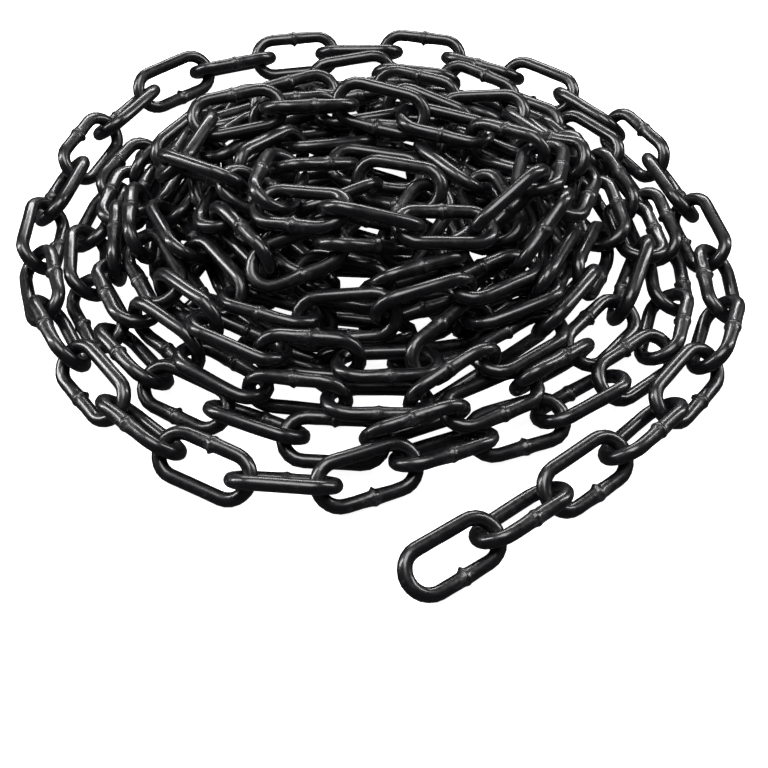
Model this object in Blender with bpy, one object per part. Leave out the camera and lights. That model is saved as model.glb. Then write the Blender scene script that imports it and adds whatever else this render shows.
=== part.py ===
"""Loosely coiled heap of welded iron chain with a short tail of links.

The chain is laid link by link along a hand-set path, then eased until no two
links share space, and every link is swept as a round bar round a long loop.
Lengths in the layout are millimetres and become metres when meshes are made.
"""
import math
import random

import bpy
import numpy as np

MM = 0.001

# Link sizes, all from the wire diameter.
WIRE = 5.0
LINK_LENGTH = 39.0
LINK_WIDTH = 20.0
STRAIGHT_HALF = (LINK_LENGTH - LINK_WIDTH) / 2.0
END_RADIUS = (LINK_WIDTH - WIRE) / 2.0
PITCH = 28.0
CLEAR = 5.4
LIFT = 0.34
WELD_SWELL = 0.45

# The heap.
FLOOR_LINKS = 29
TAIL_LINKS = 6
CHAIN_LINKS = 155
RUN_LINKS = 5
COIL_TURNS = 6.0
LAYER_RISE = 22.0
LAYER_STEP = 15.0
CORE_SIZE = (93.0, 84.0, 24.0)
CORE_BACK = -4.0
CORE_MARGIN = 3.2

# Easing of the layout.
PASSES = 2300
FALL = 0.12
FALL_UNTIL = 1100
FALL_FADE = 300
LET_GO = 1400
SPREAD = 160.0
REACH = 46.0
HOOK_SLACK = 3.2

# Where the joints between the links of the tail, the outer turn and the start
# of the second turn lie on the floor, from the free end inwards.
FLOOR_JOINTS = [
    (11, -158), (38, -143), (59, -124), (83, -109), (101, -88), (119, -66), (130, -40),
    (130, -12), (121, 15), (114, 42), (100, 66), (81, 87), (62, 108), (36, 120), (9, 128),
    (-19, 123), (-47, 121), (-75, 112), (-98, 95), (-108, 69), (-119, 43), (-125, 15),
    (-127, -14), (-115, -40), (-102, -66), (-86, -90), (-64, -108), (-40, -122), (-12, -125),
    (12, -109), (38, -99), (62, -85), (84, -78), (100, -60), (111, -36), (110, -9), (106, 19),
]

# Corners of the loose loops that cross the top of the heap.
TOP_LOOPS = [
    (-20, -8), (-62, -20), (-78, -2), (-58, 24), (-20, 36), (25, 34), (62, 22), (74, -8),
    (52, -36), (14, -44), (-26, -38), (-48, -14), (-30, 12), (8, 16), (34, 2), (20, -16),
]

# Half-axes of each turn of the coil, by turn number.
TURN_STEPS = [0, 1, 2, 3, 4, 5, 6, 6.5]
TURN_ACROSS = [106, 100, 88, 78, 66, 54, 42, 36]
TURN_DEEP = [106, 98, 84, 70, 55, 40, 28, 24]


def clear_scene():
    """Remove whatever the file opened with."""
    for item in list(bpy.data.objects):
        bpy.data.objects.remove(item, do_unlink=True)


def make_material(name, colour, roughness, metallic):
    """One plain shader with the given colour."""
    material = bpy.data.materials.new(name)
    material.use_nodes = True
    shader = material.node_tree.nodes["Principled BSDF"]
    shader.inputs["Base Color"].default_value = colour
    shader.inputs["Roughness"].default_value = roughness
    shader.inputs["Metallic"].default_value = metallic
    return material


def link_corners():
    """Ten corners of a link's middle line, in its own flat plane."""
    corners = []
    for end in (1.0, -1.0):
        for step in range(5):
            angle = math.radians(45.0 * step - 90.0 * end)
            bulge = 1.02 if 0 < step < 4 else 1.0
            across = END_RADIUS * bulge * math.cos(angle)
            along = END_RADIUS * bulge * math.sin(angle)
            corners.append((end * STRAIGHT_HALF + across, along))
    return np.round(np.array(corners), 6)


def coil_point(turn_angle):
    """Plan position of the coil at an angle in degrees, wandering a little."""
    turn = (turn_angle - 10.0) / 360.0
    across = float(np.interp(turn, TURN_STEPS, TURN_ACROSS))
    deep = float(np.interp(turn, TURN_STEPS, TURN_DEEP))
    wander = 5.0 * math.sin(math.radians(2.3 * turn_angle) + 0.4)
    wander += 4.0 * math.sin(math.radians(5.1 * turn_angle) + 1.7)
    wander += 2.5 * math.sin(math.radians(9.7 * turn_angle) + 0.9)
    wander *= 0.45 if turn < 1.0 else min(1.7, 0.45 + 0.7 * (turn - 1.0))
    angle = math.radians(turn_angle)
    x = (across + wander) * math.cos(angle)
    y = (deep + wander) * math.sin(angle) + CORE_BACK * min(1.0, turn)
    sway = 7.0 * min(1.0, max(0.0, turn - 1.2))
    return x + sway * math.sin(1.9 * turn + 0.5), y + 0.8 * sway * math.sin(2.7 * turn + 2.0)


def coil_height(turn):
    """Starting height of the coil, each turn well above the one before."""
    lift = LAYER_RISE * min(1.0, max(0.0, (turn - 0.58) / 0.2))
    return 9.0 + lift + LAYER_STEP * max(0.0, turn - 1.0)


def coil_path():
    """Fine points down the middle of the coil and of the loops on top."""
    points = []
    steps = int(360.0 * COIL_TURNS * 2)
    for step in range(steps):
        angle = 10.0 + step * 0.5
        x, y = coil_point(angle)
        points.append((x, y, coil_height((angle - 10.0) / 360.0)))
    last = points[-1]
    corners = [last]
    for number, (x, y) in enumerate(TOP_LOOPS):
        corners.append((x, y, last[2] + 4.0 + number * 2.6))
    for start, end in zip(corners[:-1], corners[1:]):
        for step in range(1, 41):
            share = step / 40.0
            points.append(tuple(a + (b - a) * share for a, b in zip(start, end)))
    return points


def chain_joints():
    """Joint positions along the whole chain, one pitch apart."""
    joints = [(x, y, 7.0) for x, y in FLOOR_JOINTS]
    here = joints[-1]
    for point in coil_path():
        away = math.dist(here, point)
        if away >= PITCH:
            share = PITCH / away
            here = tuple(a + (b - a) * share for a, b in zip(here, point))
            joints.append(here)
    return joints[:CHAIN_LINKS + 1]


def link_roll(number, source):
    """Roll of a link about the chain, every second one turned a quarter."""
    roll = 45.0 if number % 2 == 0 else -45.0
    if number == 0:
        return 12.0
    if number == 1:
        return -62.0
    if number < len(FLOOR_JOINTS):
        return roll + source.uniform(-7, 7)
    drift = 32.0 * math.sin(0.31 * number + 1.1) + 14.0 * math.sin(0.83 * number + 0.3)
    return roll + drift + source.uniform(-8, 8)


def start_layout():
    """Centres and axes of the links before easing."""
    source = random.Random(5)
    joints = chain_joints()
    centres = []
    frames = []
    for number, (first, second) in enumerate(zip(joints[:-1], joints[1:])):
        first = np.array(first)
        second = np.array(second)
        along = (second - first) / math.dist(first, second)
        centre = (first + second) / 2.0
        if number == 0:
            centre = second - along * 14.0
        outward = np.array([along[1], -along[0], 0.0])
        outward = outward / math.sqrt(outward[0] ** 2 + outward[1] ** 2)
        upward = np.cross(outward, along)
        roll = math.radians(link_roll(number, source))
        normal = math.cos(roll) * upward + math.sin(roll) * outward
        centres.append(centre)
        frames.append(np.stack([along, np.cross(normal, along), normal], 1))
    return np.round(np.array(centres), 5), np.round(np.array(frames), 7)


def dot(a, b):
    """Row by row scalar product."""
    return a[:, 0] * b[:, 0] + a[:, 1] * b[:, 1] + a[:, 2] * b[:, 2]


def cross(a, b):
    """Row by row vector product."""
    x = a[:, 1] * b[:, 2] - a[:, 2] * b[:, 1]
    y = a[:, 2] * b[:, 0] - a[:, 0] * b[:, 2]
    z = a[:, 0] * b[:, 1] - a[:, 1] * b[:, 0]
    return np.stack([x, y, z], 1)


def length(a):
    """Row by row length."""
    return np.sqrt(dot(a, a))


def nearest_shares(start_a, way_a, start_b, way_b):
    """How far along two straight pieces their nearest points lie."""
    gap = start_a - start_b
    aa = dot(way_a, way_a)
    bb = dot(way_b, way_b)
    ab = dot(way_a, way_b)
    ga = dot(way_a, gap)
    gb = dot(way_b, gap)
    spread = aa * bb - ab * ab
    skew = spread > 1e-9
    share_a = np.where(skew, (ab * gb - ga * bb) / np.where(skew, spread, 1.0), 0.5)
    share_a = np.minimum(np.maximum(share_a, 0.0), 1.0)
    share_b = np.minimum(np.maximum((ab * share_a + gb) / bb, 0.0), 1.0)
    share_a = np.minimum(np.maximum((ab * share_b - ga) / aa, 0.0), 1.0)
    return share_a, share_b


def wire_pieces(centres, frames, corners):
    """Start and way of the straight pieces of every link."""
    along = corners[None, :, 0, None] * frames[:, None, :, 0]
    across = corners[None, :, 1, None] * frames[:, None, :, 1]
    points = centres[:, None, :] + along + across
    ways = np.roll(points, -1, axis=1) - points
    return points.reshape(-1, 3), ways.reshape(-1, 3)


def close_pairs(centres, starts, ways, count):
    """Pairs of wire pieces of different links that lie near each other."""
    apart = centres[:, None, :] - centres[None, :, :]
    square = apart[..., 0] ** 2 + apart[..., 1] ** 2 + apart[..., 2] ** 2
    order = np.arange(len(centres))
    first, second = np.where((square < REACH ** 2) & (order[:, None] < order[None, :]))
    grid_a, grid_b = np.meshgrid(np.arange(count), np.arange(count), indexing="ij")
    pair_a = (first[:, None] * count + grid_a.ravel()[None, :]).ravel()
    pair_b = (second[:, None] * count + grid_b.ravel()[None, :]).ravel()
    middle = starts + ways * 0.5
    half = length(ways) * 0.5
    between = middle[pair_a] - middle[pair_b]
    near = dot(between, between) < (half[pair_a] + half[pair_b] + CLEAR + 4.0) ** 2
    return pair_a[near], pair_b[near]


class Pushes:
    """Small moves and turns gathered for each link in one pass."""

    def __init__(self):
        self.links = []
        self.moves = []
        self.turns = []

    def add(self, links, way, lever_turn, share):
        """Push links along a way by a share, turning them by their lever."""
        self.links.append(links)
        self.moves.append(way * share[:, None])
        self.turns.append(lever_turn * (share / SPREAD)[:, None])

    def total(self, count):
        """Damped sum of the moves and turns of each link."""
        links = np.concatenate(self.links)
        moves = np.concatenate(self.moves)
        turns = np.concatenate(self.turns)
        hits = np.bincount(links, minlength=count)
        damp = 1.4 / np.maximum(1.0, hits * 0.33)
        move = [np.bincount(links, weights=moves[:, k], minlength=count) for k in range(3)]
        turn = [np.bincount(links, weights=turns[:, k], minlength=count) for k in range(3)]
        return np.stack(move, 1) * damp[:, None], np.stack(turn, 1) * damp[:, None]


def push_wires_apart(pushes, centres, starts, ways, pairs, owner, clear):
    """Part any two wires that are closer than the clear distance."""
    pair_a, pair_b = pairs
    share_a, share_b = nearest_shares(starts[pair_a], ways[pair_a], starts[pair_b], ways[pair_b])
    point_a = starts[pair_a] + ways[pair_a] * share_a[:, None]
    point_b = starts[pair_b] + ways[pair_b] * share_b[:, None]
    gap = point_a - point_b
    apart = length(gap)
    hit = apart < clear
    way = gap[hit] / np.maximum(apart[hit], 1e-6)[:, None]
    link_a = owner[pair_a[hit]]
    link_b = owner[pair_b[hit]]
    turn_a = cross(point_a[hit] - centres[link_a], way)
    turn_b = cross(point_b[hit] - centres[link_b], way)
    weight = 2.0 + (dot(turn_a, turn_a) + dot(turn_b, turn_b)) / SPREAD
    share = (clear - apart[hit]) / weight
    pushes.add(link_a, way, turn_a, share)
    pushes.add(link_b, -way, -turn_b, share)


def push_off_floor(pushes, centres, starts, owner):
    """Lift any corner that has sunk below the floor."""
    low = starts[:, 2] < WIRE / 2.0
    links = owner[low]
    way = np.zeros((len(links), 3))
    way[:, 2] = 1.0
    turn = cross(starts[low] - centres[links], way)
    share = (WIRE / 2.0 - starts[low, 2]) / (1.0 + dot(turn, turn) / SPREAD)
    pushes.add(links, way, turn, share)


def push_off_core(pushes, centres, starts, ways, owner):
    """Keep the wires outside the rounded core."""
    shift = np.array([0.0, CORE_BACK, 0.0])
    points = np.concatenate([starts, starts + ways * 0.5]) - shift
    links = np.concatenate([owner, owner])
    half = np.array(CORE_SIZE) + CORE_MARGIN
    reach = (points[:, 0] / half[0]) ** 2 + (points[:, 1] / half[1]) ** 2
    reach = reach + (points[:, 2] / half[2]) ** 2
    slope = points / half ** 2
    steep = length(slope)
    depth = (1.0 - reach) / (2.0 * np.maximum(steep, 1e-9))
    inside = reach < 1.0
    links = links[inside]
    way = slope[inside] / steep[inside][:, None]
    turn = cross(points[inside] - (centres[links] - shift), way)
    share = np.minimum(depth[inside], 2.0) / (1.0 + dot(turn, turn) / SPREAD)
    pushes.add(links, way, turn, share)


def pull_hooks(pushes, centres, frames):
    """Keep each link hooked in the next, with a little slack."""
    count = len(centres)
    reach = PITCH / 2.0 + 0.3
    first = np.arange(count - 1)
    second = first + 1
    lever_a = frames[first, :, 0] * reach
    lever_b = frames[second, :, 0] * -reach
    gap = centres[second] + lever_b - centres[first] - lever_a
    size = length(gap)
    loose = size > HOOK_SLACK
    first = first[loose]
    second = second[loose]
    way = gap[loose] / size[loose][:, None]
    turn_a = cross(lever_a[loose], way)
    turn_b = cross(lever_b[loose], way)
    weight = 2.0 + (dot(turn_a, turn_a) + dot(turn_b, turn_b)) / SPREAD
    share = (size[loose] - HOOK_SLACK) / weight
    pushes.add(first, way, turn_a, share)
    pushes.add(second, -way, -turn_b, share)


def turn_frames(frames, turn):
    """Turn every frame by a small amount and make it square again."""
    size = length(turn)
    turn = turn * np.minimum(1.0, 0.08 / np.maximum(size, 1e-9))[:, None]
    along = frames[:, :, 0]
    normal = frames[:, :, 2]
    along = along + cross(turn, along)
    normal = normal + cross(turn, normal)
    along = along / length(along)[:, None]
    normal = normal - along * dot(normal, along)[:, None]
    normal = normal / length(normal)[:, None]
    return np.stack([along, cross(normal, along), normal], 2)


def fall_at(number):
    """How far the links sink in one pass."""
    if number < FALL_UNTIL:
        return FALL
    return FALL * max(0.0, 1.0 - (number - FALL_UNTIL) / FALL_FADE)


def ease_layout(centres, frames):
    """Let the links sink and part until none share space."""
    corners = link_corners()
    count = len(corners)
    owner = np.repeat(np.arange(len(centres)), count)
    home = centres.copy()
    hold = np.where(np.arange(len(centres)) < len(FLOOR_JOINTS) - 1, 0.02, 0.002)
    pairs = None
    for number in range(PASSES):
        starts, ways = wire_pieces(centres, frames, corners)
        if number % 8 == 0:
            pairs = close_pairs(centres, starts, ways, count)
        clear = CLEAR * min(1.0, 0.6 + 0.4 * number / 60.0)
        pushes = Pushes()
        push_wires_apart(pushes, centres, starts, ways, pairs, owner, clear)
        pull_hooks(pushes, centres, frames)
        push_off_floor(pushes, centres, starts, owner)
        push_off_core(pushes, centres, starts, ways, owner)
        move, turn = pushes.total(len(centres))
        move[:, 2] -= fall_at(number)
        grip = hold * (1.0 if number < LET_GO else 0.1)
        move[:, :2] += (home - centres)[:, :2] * grip[:, None]
        size = length(move)
        centres = centres + move * np.minimum(1.0, 0.6 / np.maximum(size, 1e-9))[:, None]
        frames = turn_frames(frames, turn)
    centres[:, 2] += LIFT
    return centres, frames


def bar_rings(corners, weld):
    """Stations round a link: place in its plane, bisecting way and radius."""
    count = len(corners)
    stations = []
    for number in range(count):
        here = corners[number]
        before = here - corners[number - 1]
        after = corners[(number + 1) % count] - here
        way = before / math.hypot(*before) + after / math.hypot(*after)
        way = way / math.hypot(*way)
        widen = 1.0 / max(0.2, float(np.dot(way, after / math.hypot(*after))))
        stations.append((here, way, WIRE / 2.0, widen))
        if weld and number == 4:
            for place, swell in ((0.42, 0.0), (0.5, WELD_SWELL), (0.58, 0.0)):
                spot = here + after * place
                straight = after / math.hypot(*after)
                stations.append((spot, straight, WIRE / 2.0 + swell, 1.0))
    return stations


def link_mesh(centre, frame, sides, weld):
    """Corners and faces of one link swept round its loop."""
    stations = bar_rings(link_corners(), weld)
    verts = []
    for spot, way, radius, widen in stations:
        outward = np.array([way[1], -way[0]])
        for side in range(sides):
            angle = 2.0 * math.pi * (side + 0.5) / sides
            flat = spot + outward * (radius * widen * math.cos(angle))
            height = radius * math.sin(angle)
            place = centre + frame[:, 0] * flat[0] + frame[:, 1] * flat[1] + frame[:, 2] * height
            verts.append(tuple(place * MM))
    faces = []
    rings = len(stations)
    for ring in range(rings):
        after = (ring + 1) % rings
        for side in range(sides):
            other = (side + 1) % sides
            faces.append((
                ring * sides + side,
                after * sides + side,
                after * sides + other,
                ring * sides + other,
            ))
    return verts, faces


def stud_mesh(centres, frames, number):
    """Small eight-faced stud that joins a link to the next where they bear."""
    corners = link_corners()
    count = len(corners)
    starts, ways = wire_pieces(centres[number:number + 2], frames[number:number + 2], corners)
    grid_a, grid_b = np.meshgrid(np.arange(count), np.arange(count) + count, indexing="ij")
    pair_a = grid_a.ravel()
    pair_b = grid_b.ravel()
    share_a, share_b = nearest_shares(starts[pair_a], ways[pair_a], starts[pair_b], ways[pair_b])
    point_a = starts[pair_a] + ways[pair_a] * share_a[:, None]
    point_b = starts[pair_b] + ways[pair_b] * share_b[:, None]
    nearest = int(np.argmin(np.round(length(point_a - point_b), 4)))
    return stud_between(point_a[nearest], point_b[nearest])


def stud_between(first, second):
    """Corners and faces of an eight-faced stud between two points."""
    way = (second - first) / math.dist(first, second)
    side = np.cross(way, np.array([0.31, 0.47, 0.83]))
    side = side / math.sqrt(float(np.dot(side, side)))
    other = np.cross(way, side)
    middle = (first + second) / 2.0
    girth = 1.3
    verts = [first, second]
    for axis in (side, other, -side, -other):
        verts.append(middle + axis * girth)
    faces = []
    for step in range(4):
        here = 2 + step
        after = 2 + (step + 1) % 4
        faces.append((0, after, here))
        faces.append((1, here, after))
    return [tuple(v * MM) for v in verts], faces


def make_object(name, verts, faces, material=None):
    """A mesh object in the scene."""
    mesh = bpy.data.meshes.new(name)
    mesh.from_pydata(verts, [], faces)
    mesh.update()
    item = bpy.data.objects.new(name, mesh)
    bpy.context.collection.objects.link(item)
    if material is not None:
        mesh.materials.append(material)
    return item


def unite(body, tool):
    """Add one closed body to another and drop the tool."""
    step = body.modifiers.new("unite", "BOOLEAN")
    step.operation = "UNION"
    step.solver = "EXACT"
    step.object = tool
    bpy.context.view_layer.objects.active = body
    bpy.ops.object.modifier_apply(modifier=step.name)
    bpy.data.objects.remove(tool, do_unlink=True)


def single_link(name, layout, number, weld, material):
    """One loose link of the tail or the outer turn."""
    centres, frames = layout
    verts, faces = link_mesh(centres[number], frames[number], 6, weld)
    return make_object(name, verts, faces, material)


def linked_run(name, layout, numbers, material):
    """A few links one after another, joined where they bear."""
    centres, frames = layout
    verts, faces = link_mesh(centres[numbers[0]], frames[numbers[0]], 5, False)
    body = make_object(name, verts, faces, material)
    for number in numbers[1:]:
        verts, faces = stud_mesh(centres, frames, number - 1)
        unite(body, make_object("stud", verts, faces))
        verts, faces = link_mesh(centres[number], frames[number], 5, False)
        unite(body, make_object("link", verts, faces))
    return body


def core_body(material):
    """Low rounded body that stands for the buried links."""
    around = 32
    levels = 6
    verts = [(0.0, CORE_BACK * MM, 0.0)]
    for level in range(levels):
        rise = math.radians(90.0 * level / levels)
        for step in range(around):
            angle = 2.0 * math.pi * step / around
            x = CORE_SIZE[0] * math.cos(rise) * math.cos(angle)
            y = CORE_SIZE[1] * math.cos(rise) * math.sin(angle) + CORE_BACK
            verts.append((x * MM, y * MM, CORE_SIZE[2] * math.sin(rise) * MM))
    verts.append((0.0, CORE_BACK * MM, CORE_SIZE[2] * MM))
    top = len(verts) - 1
    faces = [tuple(1 + step for step in reversed(range(around)))]
    for level in range(levels - 1):
        low = 1 + level * around
        for step in range(around):
            after = (step + 1) % around
            faces.append((low + step, low + after, low + around + after, low + around + step))
    low = 1 + (levels - 1) * around
    for step in range(around):
        faces.append((low + step, low + (step + 1) % around, top))
    verts = verts[1:]
    faces = [tuple(corner - 1 for corner in face) for face in faces]
    return make_object("heap_core", verts, faces, material)


def name_of_single(number):
    """Plain name of a loose link by its place from the free end."""
    if number == 0:
        return "end_link"
    if number < TAIL_LINKS:
        return "tail_link_%02d" % number
    return "outer_link_%02d" % (number - TAIL_LINKS + 1)


def build():
    """Make every body of the heap."""
    clear_scene()
    steel = make_material("lacquered_steel", (0.012, 0.011, 0.014, 1.0), 0.35, 0.0)
    filling = make_material("buried_links", (0.010, 0.010, 0.011, 1.0), 0.6, 0.0)
    layout = ease_layout(*start_layout())
    for number in range(FLOOR_LINKS):
        single_link(name_of_single(number), layout, number, number < TAIL_LINKS, steel)
    runs = range(FLOOR_LINKS, CHAIN_LINKS, RUN_LINKS)
    for place, first in enumerate(runs):
        numbers = list(range(first, min(first + RUN_LINKS, CHAIN_LINKS)))
        linked_run("coil_run_%02d" % (place + 1), layout, numbers, steel)
    core_body(filling)


build()
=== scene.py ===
"""Looks of a loosely coiled heap of black lacquered welded steel chain.

The chain is laid link by link along the same path as the solids, each link is a
round bar carried along a long closed loop with its butt weld, and every solid is
replaced by the links that it stands for.
"""

import logging
import math
import random
from dataclasses import dataclass, field
from enum import Enum
from typing import Any, Dict, List, Sequence, Tuple

import bpy
import numpy as np
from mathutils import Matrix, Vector

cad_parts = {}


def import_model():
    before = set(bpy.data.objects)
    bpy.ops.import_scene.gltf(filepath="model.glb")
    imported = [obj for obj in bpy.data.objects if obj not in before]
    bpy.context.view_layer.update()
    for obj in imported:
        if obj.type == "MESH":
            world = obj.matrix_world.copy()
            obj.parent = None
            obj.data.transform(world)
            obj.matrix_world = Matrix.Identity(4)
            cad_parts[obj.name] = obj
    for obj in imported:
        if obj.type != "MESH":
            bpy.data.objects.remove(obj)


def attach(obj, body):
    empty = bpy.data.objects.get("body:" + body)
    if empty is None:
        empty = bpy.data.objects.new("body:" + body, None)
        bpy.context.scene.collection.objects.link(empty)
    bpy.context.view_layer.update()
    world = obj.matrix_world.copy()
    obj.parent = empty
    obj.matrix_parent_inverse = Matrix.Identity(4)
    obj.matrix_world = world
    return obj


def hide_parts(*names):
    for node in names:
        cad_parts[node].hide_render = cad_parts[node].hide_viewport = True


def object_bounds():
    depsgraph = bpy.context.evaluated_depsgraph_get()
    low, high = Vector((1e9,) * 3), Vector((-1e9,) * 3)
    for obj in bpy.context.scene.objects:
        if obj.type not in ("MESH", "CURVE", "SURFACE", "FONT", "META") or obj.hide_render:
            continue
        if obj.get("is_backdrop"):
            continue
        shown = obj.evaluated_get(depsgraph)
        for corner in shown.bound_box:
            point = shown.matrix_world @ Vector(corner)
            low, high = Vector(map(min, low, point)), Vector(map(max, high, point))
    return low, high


MM: float = 0.001
FREE_END_REACH: float = 14.0
LOG = logging.getLogger("chain_heap")

Point = Tuple[float, float, float]
Pose = Tuple[np.ndarray, np.ndarray]


class Detail(Enum):
    """How finely a link is meshed: bar sides, end steps and whether it shows its weld."""

    LOOSE = (18, 12, True)
    COILED = (14, 9, True)
    BURIED = (8, 6, False)


@dataclass(frozen=True)
class LinkSize:
    """Sizes of one welded link, in millimetres."""

    wire: float = 5.0
    length: float = 39.0
    width: float = 20.0
    pitch: float = 28.0

    @property
    def straight_half(self) -> float:
        """Half the length of a side bar."""
        return (self.length - self.width) / 2.0

    @property
    def end_radius(self) -> float:
        """Radius of the middle line round an end."""
        return (self.width - self.wire) / 2.0

    def corners(self) -> np.ndarray:
        """Ten corners of the middle line: five round each end, the inner three a
        fiftieth further out than the true half circle.

        Returns:
            Corners in the link's own plane, one row each.
        """
        rows = []
        for end in (1.0, -1.0):
            for step in range(5):
                angle = math.radians(45.0 * step - 90.0 * end)
                bulge = 1.02 if 0 < step < 4 else 1.0
                across = self.end_radius * bulge * math.cos(angle)
                along = self.end_radius * bulge * math.sin(angle)
                rows.append((end * self.straight_half + across, along))
        return np.round(np.array(rows), 6)


@dataclass
class ChainRoute:
    """Path of the chain from its free end, round the floor and up the heap."""

    link: LinkSize
    chain_links: int = 155
    coil_turns: float = 6.0
    start_angle: float = 10.0
    floor_height: float = 7.0
    lay_height: float = 9.0
    layer_rise: float = 22.0
    layer_step: float = 15.0
    climb_start: float = 0.58
    climb_turns: float = 0.2
    loop_lift: float = 4.0
    loop_rise: float = 2.6
    loop_steps: int = 40
    core_back: float = -4.0
    seed: int = 5
    end_rolls: Sequence[float] = (12.0, -62.0)
    waves: Sequence[Point] = ((5.0, 2.3, 0.4), (4.0, 5.1, 1.7), (2.5, 9.7, 0.9))
    floor_joints: Sequence[Tuple[int, int]] = (
        (11, -158), (38, -143), (59, -124), (83, -109), (101, -88), (119, -66), (130, -40),
        (130, -12), (121, 15), (114, 42), (100, 66), (81, 87), (62, 108), (36, 120), (9, 128),
        (-19, 123), (-47, 121), (-75, 112), (-98, 95), (-108, 69), (-119, 43), (-125, 15),
        (-127, -14), (-115, -40), (-102, -66), (-86, -90), (-64, -108), (-40, -122), (-12, -125),
        (12, -109), (38, -99), (62, -85), (84, -78), (100, -60), (111, -36), (110, -9), (106, 19),
    )
    top_loops: Sequence[Tuple[int, int]] = (
        (-20, -8), (-62, -20), (-78, -2), (-58, 24), (-20, 36), (25, 34), (62, 22), (74, -8),
        (52, -36), (14, -44), (-26, -38), (-48, -14), (-30, 12), (8, 16), (34, 2), (20, -16),
    )
    turn_steps: Sequence[float] = (0, 1, 2, 3, 4, 5, 6, 6.5)
    turn_across: Sequence[float] = (106, 100, 88, 78, 66, 54, 42, 36)
    turn_deep: Sequence[float] = (106, 98, 84, 70, 55, 40, 28, 24)

    def coil_point(self, turn_angle: float) -> Tuple[float, float]:
        """An ellipse whose half-axes shrink turn by turn, pushed in and out by three
        sine waves of unrelated length and swayed off centre by two slow ones.

        Args:
            turn_angle: Angle round the heap, in degrees.

        Returns:
            Plan position, in millimetres.
        """
        turn = (turn_angle - self.start_angle) / 360.0
        across = float(np.interp(turn, self.turn_steps, self.turn_across))
        deep = float(np.interp(turn, self.turn_steps, self.turn_deep))
        wander = 0.0
        for size, rate, phase in self.waves:
            wander += size * math.sin(math.radians(rate * turn_angle) + phase)
        wander *= 0.45 if turn < 1.0 else min(1.7, 0.45 + 0.7 * (turn - 1.0))
        angle = math.radians(turn_angle)
        x = (across + wander) * math.cos(angle)
        y = (deep + wander) * math.sin(angle) + self.core_back * min(1.0, turn)
        sway = 7.0 * min(1.0, max(0.0, turn - 1.2))
        return x + sway * math.sin(1.9 * turn + 0.5), y + 0.8 * sway * math.sin(2.7 * turn + 2.0)

    def coil_height(self, turn: float) -> float:
        """Starting height of a turn, well above the turn before it."""
        climbed = (turn - self.climb_start) / self.climb_turns
        lift = self.layer_rise * min(1.0, max(0.0, climbed))
        return self.lay_height + lift + self.layer_step * max(0.0, turn - 1.0)

    def coil_path(self) -> List[Point]:
        """Fine points down the middle of the coil and of the loops on top.

        Returns:
            Points in order along the chain.
        """
        points: List[Point] = []
        for step in range(int(360.0 * self.coil_turns * 2)):
            angle = self.start_angle + step * 0.5
            x, y = self.coil_point(angle)
            points.append((x, y, self.coil_height((angle - self.start_angle) / 360.0)))
        last = points[-1]
        corners = [last]
        for number, (x, y) in enumerate(self.top_loops):
            corners.append((x, y, last[2] + self.loop_lift + number * self.loop_rise))
        for start, end in zip(corners[:-1], corners[1:]):
            for step in range(1, self.loop_steps + 1):
                share = step / self.loop_steps
                points.append(tuple(a + (b - a) * share for a, b in zip(start, end)))
        return points

    def joints(self) -> List[Point]:
        """Joint positions along the whole chain, one pitch apart.

        Returns:
            One position more than there are links.
        """
        joints = [(float(x), float(y), self.floor_height) for x, y in self.floor_joints]
        return joints_along(joints, self.coil_path(), self.link.pitch)[: self.chain_links + 1]

    def roll(self, number: int, source: random.Random) -> float:
        """Roll of a link about the chain in degrees, every second one turned a quarter.

        Args:
            number: Place of the link from the free end.
            source: Seeded source of the small differences.

        Returns:
            Roll in degrees.
        """
        if number < len(self.end_rolls):
            return self.end_rolls[number]
        roll = 45.0 if number % 2 == 0 else -45.0
        if number < len(self.floor_joints):
            return roll + source.uniform(-7, 7)
        drift = 32.0 * math.sin(0.31 * number + 1.1) + 14.0 * math.sin(0.83 * number + 0.3)
        return roll + drift + source.uniform(-8, 8)

    def start(self) -> Pose:
        """Centres and axes of the links before easing.

        Returns:
            Centres and frames.
        """
        source = random.Random(self.seed)
        rolls = [self.roll(number, source) for number in range(self.chain_links)]
        return poses_between(self.joints(), rolls, free_end=True)


@dataclass
class BuriedRoute:
    """Path of the chain that lies hidden inside the heap, in two flat coils."""

    link: LinkSize
    core_back: float = -4.0
    inward_turns: float = 3.5
    outward_turns: float = 3.1
    floor_height: float = 7.5
    rise: float = 22.0
    seed: int = 9

    def path(self) -> List[Point]:
        """A flat spiral inwards on the floor, then one outwards above it.

        Returns:
            Points in order along the chain.
        """
        points: List[Point] = []
        for step in range(int(360 * self.inward_turns * 2)):
            turn = step / 720.0
            points.append(self.spiral_point(turn, 84.0 - 19.0 * turn, self.floor_height))
        for step in range(int(360 * self.outward_turns * 2)):
            turn = step / 720.0
            height = self.floor_height + self.rise * min(1.0, turn * 2.5)
            points.append(self.spiral_point(turn + 0.5, 20.0 + 17.0 * turn, height))
        return points

    def spiral_point(self, turn: float, radius: float, height: float) -> Point:
        """A point on a wavy circle a little wider than deep."""
        angle = 2.0 * math.pi * turn
        wave = 3.0 * math.sin(3.3 * angle)
        x = (radius + wave) * math.cos(angle) * 1.03
        y = (radius + wave) * math.sin(angle) * 0.92 + self.core_back
        return x, y, height

    def start(self) -> Pose:
        """Centres and axes of the hidden links before easing.

        Returns:
            Centres and frames.
        """
        source = random.Random(self.seed)
        path = self.path()
        joints = joints_along([path[0]], path[1:], self.link.pitch)
        rolls = []
        for number in range(len(joints) - 1):
            roll = 45.0 if number % 2 == 0 else -45.0
            rolls.append(roll + 20.0 * math.sin(0.4 * number) + source.uniform(-8, 8))
        return poses_between(joints, rolls, free_end=False)


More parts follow.
